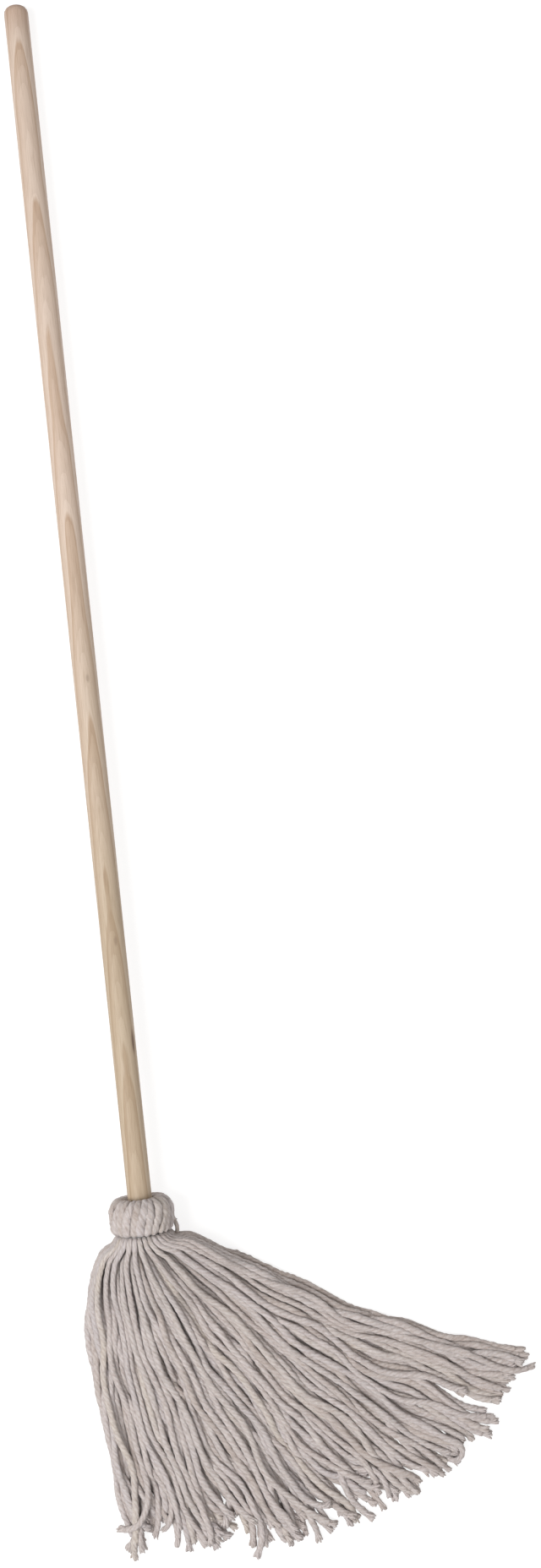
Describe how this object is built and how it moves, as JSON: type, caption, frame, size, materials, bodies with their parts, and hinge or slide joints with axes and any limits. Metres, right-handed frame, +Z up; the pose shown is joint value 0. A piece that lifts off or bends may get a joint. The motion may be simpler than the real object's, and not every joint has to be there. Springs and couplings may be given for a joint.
{
  "type": "string mop",
  "caption": "String mop: a round wooden handle tied into a head of cut-end cotton yarn that spreads as a fan on the floor.",
  "frame": {"origin": "on the floor, under the middle of the box of the mop as it lies with its yarn fanned out", "axes": "+Y along the handle from the yarn head to the tip, +X towards the side that the yarn sweeps to, +Z up from the floor"},
  "size_m": [0.4368, 1.552, 0.0664],
  "materials": {
    "handle_wood": "bare sanded wood",
    "cotton_yarn": "undyed greyish cotton yarn",
    "tie_steel": "galvanised wire"
  },
  "bodies": {
    "skirt": {"neck_yarn": "cotton_yarn", "lower_lock_01": "cotton_yarn", "lower_lock_02": "cotton_yarn", "lower_lock_03": "cotton_yarn", "lower_lock_04": "cotton_yarn", "lower_lock_05": "cotton_yarn", "lower_lock_06": "cotton_yarn", "lower_lock_07": "cotton_yarn", "lower_lock_08": "cotton_yarn", "lower_lock_09": "cotton_yarn", "lower_lock_10": "cotton_yarn", "lower_lock_11": "cotton_yarn", "lower_lock_12": "cotton_yarn", "lower_lock_13": "cotton_yarn", "lower_lock_14": "cotton_yarn", "upper_lock_01": "cotton_yarn", "upper_lock_02": "cotton_yarn", "upper_lock_03": "cotton_yarn", "upper_lock_04": "cotton_yarn", "upper_lock_05": "cotton_yarn", "upper_lock_06": "cotton_yarn", "upper_lock_07": "cotton_yarn", "upper_lock_08": "cotton_yarn", "upper_lock_09": "cotton_yarn", "upper_lock_10": "cotton_yarn", "upper_lock_11": "cotton_yarn", "upper_lock_12": "cotton_yarn", "upper_lock_13": "cotton_yarn", "upper_lock_14": "cotton_yarn"},
    "handle": {"handle": "handle_wood", "inner_yarn_lay": "cotton_yarn", "inner_tie_wire": "tie_steel", "tie_staple_left": "tie_steel", "tie_staple_right": "tie_steel", "collar_fold_01": "cotton_yarn", "collar_fold_02": "cotton_yarn", "collar_fold_03": "cotton_yarn", "collar_fold_04": "cotton_yarn", "collar_fold_05": "cotton_yarn", "collar_fold_06": "cotton_yarn", "collar_fold_07": "cotton_yarn", "collar_fold_08": "cotton_yarn", "collar_fold_09": "cotton_yarn", "collar_fold_10": "cotton_yarn", "collar_fold_11": "cotton_yarn", "collar_fold_12": "cotton_yarn", "waist_yarn": "cotton_yarn", "outer_tie_wire": "tie_steel"}
  },
  "joints": [
    {"name": "handle_lift", "type": "hinge", "parent": "skirt", "child": "handle", "pos_m": [-0.14827, -0.47912, 0.03423], "axis": [1, 0, 0], "range_deg": [0, 70]}
  ]
}
